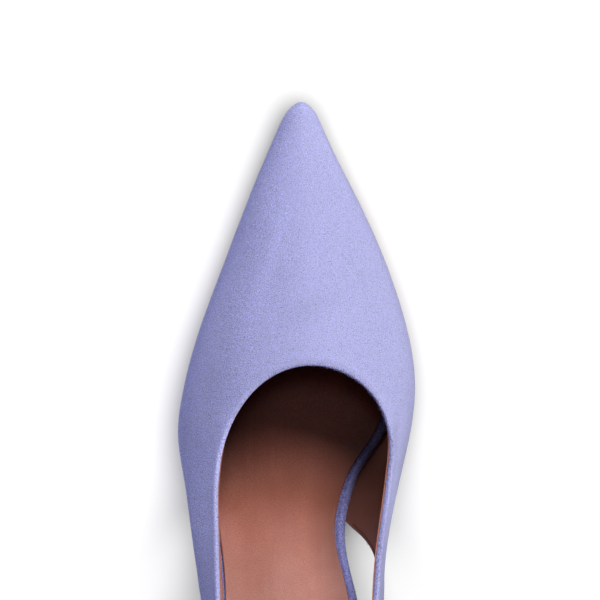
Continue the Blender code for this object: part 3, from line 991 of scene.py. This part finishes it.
def heel_ring(level):
    """One section of the heel, from the middle of its back round by the medial side."""
    front = HEEL.at("front", level)
    back = HEEL.at("back", level)
    half = HEEL.at("half", level)
    seat_front = HEEL.at("front", 1.0)
    seat_back = HEEL.at("back", 1.0)
    centre = centre_line(0.0)
    turn = 1 - np.cos(np.pi / 2 * shares(SEAT_STEPS))
    breast_side = np.linspace(1.0, -1.0, SEAT_STEPS)[1:-1]
    side = np.concatenate((np.ones(len(turn)), breast_side, -np.ones(len(turn) - 1)))
    share = np.concatenate((turn, np.ones(len(breast_side)), turn[:0:-1]))
    hollow = np.where(share == 1.0, BREAST_HOLLOW * (1 - side**2), 0.0)
    seat_station = mix(seat_back, seat_front, share)
    seat_edge = plan_edge(INSOLE, MEDIAL, seat_station, LENGTH, seat_back, -SEAT_INSET)
    seat_shape = (seat_edge - centre) / HEEL.at("half", 1.0)
    foot_shape = end_round(share, HEEL_ROUND_SHARE)
    width = half * mix(foot_shape, seat_shape, level**SEAT_POWER)
    height = mix(LIFT_THICK + GAP, feather_height(seat_station) - GAP, level)
    return np.stack((centre + side * width, mix(back, front, share) - hollow, height), axis=1)


def heel_cover(materials):
    rings = [heel_ring(level) for level in shares(HEEL_LEVELS)]
    return add_tube("heel_cover", rings, materials)


def lift_piece(materials):
    """The top lift, with its lower edge rounded off."""
    foot = heel_ring(0.0)
    middle = foot.mean(axis=0)
    turn = np.pi / 2 * shares(CORNER_STEPS)
    insets = np.concatenate((LIFT_ROUND * (1 - np.sin(turn)), [0.0, 0.0]))
    levels = np.concatenate((LIFT_ROUND * (1 - np.cos(turn)), [LIFT_THICK / 2, LIFT_THICK]))
    reach = np.linalg.norm(foot[:, :2] - middle[:2], axis=1)[:, None]
    rings = []
    for inset, level in zip(insets, levels):
        ring = mix(middle, foot, 1 - inset / reach)
        ring[:, 2] = level
        rings.append(ring)
    return add_tube("heel_tip", rings, materials)


def even_steps(points, pitch):
    """Points at this pitch along a line, with the direction of the line there."""
    along = np.append(0.0, np.cumsum(np.linalg.norm(np.diff(points, axis=0), axis=1)))
    at = np.arange(pitch / 2, along[-1], pitch)
    ahead = read_line(at + pitch / 4, along, points)
    behind = read_line(at - pitch / 4, along, points)
    return at / along[-1], read_line(at, along, points), unit(ahead - behind)


def stitch_row(wall, share, offset, columns):
    """Places of the stitches along one edge of the lining, and the axes of each."""
    points, outward = wall.read((share * wall.length + offset)[None, :])
    line = (points - outward * LINING_LAYER[1])[0, columns]
    steps, places, direction = even_steps(line, STITCH_PITCH)
    facing = read_line(steps * (len(line) - 1), np.arange(len(line)), outward[0, columns])
    return places, np.stack((direction, np.cross(facing, direction), facing), axis=1)


def stitch_shape():
    """One stitch along X as rings round its length."""
    turn = 2 * np.pi * np.arange(STITCH_SIDES) / STITCH_SIDES
    x = np.repeat(np.array(STITCH_ENDS) * STITCH_LENGTH / 2, STITCH_SIDES)
    y = np.outer(STITCH_GIRTHS, np.cos(turn)).ravel() * STITCH_RADIUS
    z = np.outer(STITCH_GIRTHS, np.sin(turn)).ravel() * STITCH_RADIUS
    return capped(np.stack((x, y, z), axis=1), len(STITCH_ENDS), STITCH_SIDES)


def stitching(wall, materials):
    """Thread on the lining, along the topline and along the strap and the cut-outs."""
    every = np.arange(len(wall.length))
    inset = LINING_TRIM + STITCH_INSET
    rows = (
        stitch_row(wall, 1.0, -inset, np.append(every, 0)),
        stitch_row(wall, 0.0, inset, every[wall.outline < CUT_FRONT]),
    )
    places, axes = (np.concatenate(column) for column in zip(*rows))
    return add_copies("lining_stitching", *stitch_shape(), places, axes, materials)


def fringe_shape():
    """One fibre along Z: a slim three-sided spike of length and girth one."""
    turn = 2 * np.pi * np.arange(3) / 3
    foot = np.stack((np.cos(turn), np.sin(turn), np.zeros(3)), axis=1)
    return np.concatenate((foot, [(0.0, 0.0, 1.0)])), ((0, 1, 3), (1, 2, 3), (2, 0, 3))


def add_fringe(name, roots, facing, seed, materials):
    """Short loose fibres on these roots, each leaning at random from the way its root faces."""
    random = np.random.default_rng(seed)
    count = len(roots)
    axis = unit(facing + FIBRE_SPREAD * random.standard_normal((count, 3)))
    across = unit(np.cross(axis, random.standard_normal((count, 3))))
    length = random.uniform(*FIBRE_LENGTHS, (count, 1))
    girth = (FIBRE_RADIUS * across, FIBRE_RADIUS * np.cross(axis, across))
    axes = np.stack((*girth, length * axis), axis=1)
    return add_copies(name, *fringe_shape(), roots, axes, materials)


def wall_fringe(wall, seed):
    """Roots and facing of fibres on the medial side: on the rolled topline and on the free lower edge."""
    random = np.random.default_rng(seed)
    columns = len(wall.length)
    free = cut_share(wall.outline) > FREE_SHARE
    roots = []
    facing = []
    medial = wall.side == MEDIAL
    for edge, growth, kept in ((wall.length, -1.0, medial), (0.0 * wall.length, 1.0, medial & free)):
        line, outward = wall.read(np.stack((edge, edge + growth)))
        upward = unit(line[0] - line[1])
        step = np.roll(line[0], -1, axis=0) - line[0]
        gaps = np.linalg.norm(step, axis=1)
        fibres = random.poisson(FIBRE_DENSITY * gaps * kept)
        at = np.repeat(np.arange(columns), fibres)
        turn = random.uniform(*FIBRE_TURNS, (len(at), 1))
        slide = random.uniform(0.0, 1.0, (len(at), 1))
        radius = (SUEDE_LAYER[1] - SUEDE_LAYER[0]) / 2
        middle = line[0][at] + slide * step[at] - outward[0][at] * radius - upward[at] * radius
        way = outward[0][at] * np.cos(turn) + upward[at] * np.sin(turn)
        roots.append(middle + way * radius)
        facing.append(way)
    return np.concatenate(roots), np.concatenate(facing)


def rim_fringe(seed):
    """Roots and facing of fibres over the bead of the insole's rim."""
    random = np.random.default_rng(seed)
    roots = []
    facing = []
    for side in (MEDIAL, LATERAL):
        count = round(RIM_FIBRE_DENSITY * (RIM_FIBRE_FRONT - RIM_FIBRE_BACK))
        station = random.uniform(RIM_FIBRE_BACK, RIM_FIBRE_FRONT, count)
        share = random.uniform(*RIM_FIBRE_REACH, count)
        outer = wrap_edge(side, station)
        x = mix(sock_edge(side, station), outer, share)
        past = np.maximum(INSOLE_ROUNDS[1] - abs(outer - x), 0.0)
        drop = INSOLE_ROUNDS[1] - np.sqrt(INSOLE_ROUNDS[1] ** 2 - past**2)
        roots.append(np.stack((x, station, insole_top(station) + bead(station, x) - drop), axis=1))
        facing.append(np.stack((side * (2 * share - 1), 0.0 * x, np.ones(count)), axis=1))
    return np.concatenate(roots), np.concatenate(facing)


class Surface:
    """A procedural material: a Principled shader and the nodes that drive it."""

    def __init__(self, name, finish):
        self.material = bpy.data.materials.new(name)
        self.material.use_nodes = True
        self.tree = self.material.node_tree
        self.shader = self.tree.nodes["Principled BSDF"]
        for socket, value in finish.items():
            self.shader.inputs[socket].default_value = value
        self.coordinates = self.node("ShaderNodeTexCoord").outputs

    def link(self, output, socket):
        self.tree.links.new(output, socket)

    def node(self, kind, inputs=None, **settings):
        """A new node. Each of its inputs takes a constant or another node's output."""
        made = self.tree.nodes.new(kind)
        for name, value in settings.items():
            setattr(made, name, value)
        for name, value in (inputs or {}).items():
            if isinstance(value, bpy.types.NodeSocket):
                self.link(value, made.inputs[name])
            else:
                made.inputs[name].default_value = value
        return made

    def noise(self, size, detail=2.0, stretch=(1.0, 1.0, 1.0), roughness=0.5):
        """Noise whose grains are about this many millimetres across."""
        place = self.node("ShaderNodeMapping", {"Vector": self.coordinates["Object"], "Scale": stretch})
        grain = {"Scale": 1 / (size * MM), "Detail": detail, "Roughness": roughness}
        grain["Vector"] = place.outputs["Vector"]
        return self.node("ShaderNodeTexNoise", grain).outputs["Fac"]

    def attribute(self, name):
        return self.node("ShaderNodeAttribute", attribute_name=name).outputs["Fac"]

    def ramp(self, value, low, high, start=0.0, end=1.0):
        """Value mapped from low..high to start..end, held at the ends."""
        limits = {"Value": value, "From Min": low, "From Max": high, "To Min": start, "To Max": end}
        return self.node("ShaderNodeMapRange", limits).outputs["Result"]

    def blend(self, share, *colours):
        """Mix of two colours, each a constant or a socket."""
        inputs = {MIX_SHARE: share}
        for place, colour in zip(MIX_COLOURS, colours):
            inputs[place] = (*colour, 1.0) if isinstance(colour, tuple) else colour
        return self.node("ShaderNodeMix", inputs, data_type="RGBA").outputs[MIX_RESULT]

    def facing(self, direction):
        """How far the surface faces this direction: 1 straight on, 0 from the side."""
        pair = {0: self.coordinates["Normal"], 1: Vector(direction).normalized()}
        return self.node("ShaderNodeVectorMath", pair, operation="DOT_PRODUCT").outputs["Value"]

    def lit(self, colour, share, change):
        """A colour times a share, which itself changes by a share of it."""
        total = self.node("ShaderNodeMath", {0: change, 1: share, 2: share}, operation="MULTIPLY_ADD")
        pair = {0: colour, "Scale": total.outputs["Value"]}
        return self.node("ShaderNodeVectorMath", pair, operation="SCALE").outputs["Vector"]

    def colour(self, socket):
        self.link(socket, self.shader.inputs["Base Color"])

    def bump(self, height, depth, strength=1.0, socket="Normal"):
        """Relief of this depth in millimetres, on top of any relief before it."""
        normal = self.shader.inputs[socket]
        relief = {"Strength": strength, "Distance": depth * MM, "Height": height}
        if normal.is_linked:
            relief["Normal"] = normal.links[0].from_socket
        self.link(self.node("ShaderNodeBump", relief).outputs["Normal"], normal)


def scaled(colour, share):
    return tuple(share * value for value in colour)


def suede_surface(name, dark, light, nap_size, contrast):
    """Short nap: clouds, light tips, dark hollows and a soft sheen, with painted light and shade: lighter
    towards the light, darker away, a painted sheen on steep suede facing away and strokes of painted light
    and shade.
    """
    surface = Surface(name, SUEDE_FINISH)
    clouds = surface.ramp(surface.noise(*SUEDE_CLOUDS), *NOISE_RANGE, 0.0, CLOUD_SHARE)
    nap = surface.noise(nap_size, *NAP_GRAIN)
    # Painted light and shade: suede that faces the light's side is painted lighter, suede that faces away
    # darker.
    facing = surface.facing(PAINTED_LIGHT_SIDE)
    brushed = surface.ramp(facing, *PAINTED_LIGHT_RANGE)
    ground = surface.blend(brushed, scaled(dark, GROUND_SHADE), light)
    ground = surface.blend(clouds, ground, light)
    # The nap's tips and hollows get a stronger contrast on the side away from the light, as painted
    # grazing-light shade.
    away, towards = TIP_SHADES
    tips = surface.blend(brushed, scaled(dark, away), scaled(light, towards * contrast))
    away, towards = HOLLOW_SHADES
    hollow = surface.blend(brushed, scaled(dark, away), scaled(dark, towards / contrast))
    tone = surface.blend(surface.ramp(nap, *TIP_RANGE), ground, tips)
    tone = surface.blend(surface.ramp(nap, *HOLLOW_RANGE), tone, hollow)
    # Painted sheen: steep suede that faces away from the light is made lighter.
    lift = surface.ramp(facing, *PAINTED_EDGE_SHEEN)
    # The strokes of painted light and shade, partly brush marks, scale the colour.
    surface.colour(surface.lit(tone, lift, surface.attribute(BRUSHED_AND_PAINTED_LIGHT)))
    surface.bump(nap, NAP_DEPTH)
    return surface.material


def leather_surface(name, dark, light, roughness, grain, depth, speckled, edge_shade):
    """Smooth leather: fine pebbled grain, faint lengthwise streaks and a low sheen."""
    surface = Surface(name, {**LEATHER_FINISH, "Coat Roughness": roughness})
    streaks = surface.ramp(surface.noise(*LEATHER_STREAKS), *NOISE_RANGE)
    clouds = surface.ramp(surface.noise(*LEATHER_CLOUDS), *NOISE_RANGE)
    pores = surface.noise(grain, *PORES)
    tone = surface.blend(clouds, dark, light)
    tone = surface.blend(surface.ramp(streaks, 0.0, 1.0, 0.0, STREAK_SHARE), tone, light)
    # Painted shade towards the sock's edges, strongest on the medial side.
    if edge_shade:
        across = surface.attribute(ACROSS)
        for start, end, share in SHADED_EDGES:
            painted_edge_shade = surface.ramp(across, start, end, 0.0, share * edge_shade)
            tone = surface.blend(painted_edge_shade, tone, scaled(dark, EDGE_SHADE_TONE))
    speckle = surface.ramp(pores, *SPECKLE_RANGE, speckled, 0.0)
    surface.colour(surface.blend(speckle, tone, scaled(dark, SPECKLE_SHADE)))
    gloss = surface.ramp(clouds, 0.0, 1.0, roughness, roughness + GLOSS_CHANGE)
    surface.link(gloss, surface.shader.inputs["Roughness"])
    ripples = surface.noise(*RIPPLES)
    for socket, pore_depth in (("Normal", depth), ("Coat Normal", COAT_DEPTH)):
        surface.bump(ripples, RIPPLE_DEPTH, socket=socket)
        surface.bump(pores, pore_depth, socket=socket)
    return surface.material


def plain_surface(name, dark, light, roughness, grain, depth):
    """Rubber, thread, fibres or a trimmed edge: two tones and a fine grain."""
    surface = Surface(name, {"Roughness": roughness, "Specular IOR Level": PLAIN_SPECULAR})
    noise = surface.noise(grain)
    surface.colour(surface.blend(surface.ramp(noise, *NOISE_RANGE), dark, light))
    surface.bump(noise, depth, PLAIN_RELIEF)
    return surface.material


def make_materials():
    made = {}
    for maker, rows in ((suede_surface, SUEDES), (leather_surface, LEATHERS), (plain_surface, PLAINS)):
        for name, row in rows.items():
            made[name] = maker(name, *row)
    return made


def floor_surface():
    """White floor, whose bounce on the shoe is weaker than its look, as with a cleared ground."""
    surface = Surface("floor_white", FLOOR_FINISH)
    seen = surface.node("ShaderNodeLightPath").outputs["Is Camera Ray"]
    surface.colour(surface.blend(seen, FLOOR_BOUNCE, FLOOR_WHITE))
    return surface.material


def add_floor():
    corners = np.array([(-1.0, -1.0, 0.0), (1.0, -1.0, 0.0), (1.0, 1.0, 0.0), (-1.0, 1.0, 0.0)])
    floor = link_mesh("floor", FLOOR_HALF * corners, [[0, 1, 2, 3]], [floor_surface()])


def place_lamp(light, direction, reach):
    """Puts a lamp on this side of the shoe, turned to it, for the pieces that it reaches."""
    lamp = bpy.data.objects.new(light.name, light)
    aim = Vector(direction).normalized()
    lamp.location = aim * LIGHT_DISTANCE
    lamp.rotation_euler = aim.to_track_quat("Z", "Y").to_euler()
    bpy.context.scene.collection.objects.link(lamp)
    state, names = REACHES[reach]
    listed = bpy.data.collections.new(light.name + "_" + reach)
    for name in names:
        listed.objects.link(bpy.data.objects[name])
    for item in listed.collection_objects:
        item.light_linking.link_state = state
    lamp.light_linking.receiver_collection = listed
    return lamp


def add_soft_box(name, direction, size, power, colour, reach, rays):
    light = bpy.data.lights.new(name, "AREA")
    light.shape = "RECTANGLE"
    light.size, light.size_y = size
    light.energy = power
    light.color = colour
    lamp = place_lamp(light, direction, reach)
    lamp.visible_glossy = rays != "diffuse"
    lamp.visible_diffuse = rays != "gloss"


def add_floor_light():
    """A wide even light from above that makes the floor white and puts a soft shadow on it."""
    light = bpy.data.lights.new("floor_light", "SUN")
    light.energy = FLOOR_LIGHT_STRENGTH
    light.angle = np.radians(FLOOR_LIGHT_SPREAD)
    place_lamp(light, FLOOR_LIGHT, "floor")


def add_world():
    """White surround to the eye, nearly dark as a light."""
    world = bpy.data.worlds.new("studio")
    world.use_nodes = True
    nodes = world.node_tree.nodes
    background = nodes["Background"]
    seen = nodes.new("ShaderNodeLightPath").outputs["Is Camera Ray"]
    strength = nodes.new("ShaderNodeMapRange")
    strength.inputs["To Min"].default_value = SURROUND
    world.node_tree.links.new(seen, strength.inputs["Value"])
    world.node_tree.links.new(strength.outputs["Result"], background.inputs["Strength"])
    background.inputs["Color"].default_value = (1.0, 1.0, 1.0, 1.0)
    bpy.context.scene.world = world


def add_camera():
    """Straight down, toe up, with the photo's frame round the front of the shoe."""
    data = bpy.data.cameras.new("camera")
    data.sensor_width = SENSOR
    data.lens = SENSOR * (CAMERA_HEIGHT - CAMERA_LEVEL) / (FRAME_PIXELS * PIXEL)
    data.clip_end = CAMERA_FAR
    camera = bpy.data.objects.new("camera", data)
    middle = FRAME_PIXELS / 2
    x = (middle - PIXEL_X) * PIXEL
    station = LENGTH - (middle - PIXEL_TOE) * PIXEL
    camera.location = to_row((x, station, CAMERA_HEIGHT))
    bpy.context.scene.collection.objects.link(camera)
    bpy.context.scene.camera = camera


def dress(piece, slot, *nodes):
    """Rides the piece on the shoe and hides the solids that it stands for; slot, the name of a finish, is
    not used.
    """
    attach(piece, "root")
    if nodes:
        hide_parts(*nodes)


def build_shoe():
    look = make_materials()
    suede = [look["lilac_suede"], look["folded_suede"]]
    lining = [look["lining_leather"], look["lining_cut_edge"]]

    wall = UpperWall()
    section = (SUEDE_LAYER, ROLL_PROUD, (0.0, 0.0), ROLL_LENGTHS, SUEDE_ROWS, 0.0, OPEN_NAP_TURN)
    dress(wall_piece("upper_suede", wall, section, suede), "suede", "upper")
    # The lining's face takes its leather darkened by painted shade, its cut edges their own colour.
    section = (LINING_LAYER, 0.0, (LINING_TRIM, THROAT_TRIM), (0.0, 0.0), LINING_ROWS, LINING_PAD)
    dress(wall_piece("upper_lining", wall, section, lining), "sock_leather")
    dress(stitching(wall, [look["lining_thread"]]), "sock_leather")

    fibres = wall_fringe(wall, SEED)
    dress(add_fringe("upper_nap", *fibres, SEED, [look["nap_fibre"]]), "suede")
    fibres = rim_fringe(SEED)
    dress(add_fringe("rim_nap", *fibres, SEED, [look["rim_nap_fibre"]]), "insole_suede")

    # The lasting margins take the lining's leather, darkened by painted shade.
    for side in (MEDIAL, LATERAL):
        dress(lasting_margin(side, lining[:1]), "sock_leather")

    stations = plate_stations(INSOLE_TOE + WRAP_REACH, INSOLE_BACK - WRAP_REACH)
    finish = (INSOLE_ROUNDS, [look["insole_suede"]], bead)
    rim = plate("insole_wrap", stations, wrap_edge, feather_height, insole_top, *finish)
    dress(rim, "insole_suede", "insole")
    stations = plate_stations(SOCK_TOE, INSOLE_BACK + SOCK_INSET)
    finish = (SOCK_ROUNDS, [look["sock_leather"]], dish)
    pad = plate("sock", stations, sock_edge, sock_bottom, sock_top, *finish)
    dress(pad, "sock_leather", "sock_lining")
    stations = plate_stations(SOLE_TOE, BREAST + GAP, round_back=False)
    finish = (SOLE_ROUNDS, [look["sole_leather"]])
    bottom = plate("sole", stations, outsole_edge, outsole_bottom, outsole_top, *finish)
    dress(bottom, "sole_leather", "outsole")
    dress(heel_cover(suede[:1]), "heel_suede", "heel")
    dress(lift_piece([look["lift_rubber"]]), "lift_rubber", "top_lift")


def light_stage():
    add_floor()
    add_floor_light()
    add_world()
    for row in LIGHTS:
        add_soft_box(*row)
    bpy.context.scene.view_settings.view_transform = "Standard"


add_camera()
build_shoe()
light_stage()
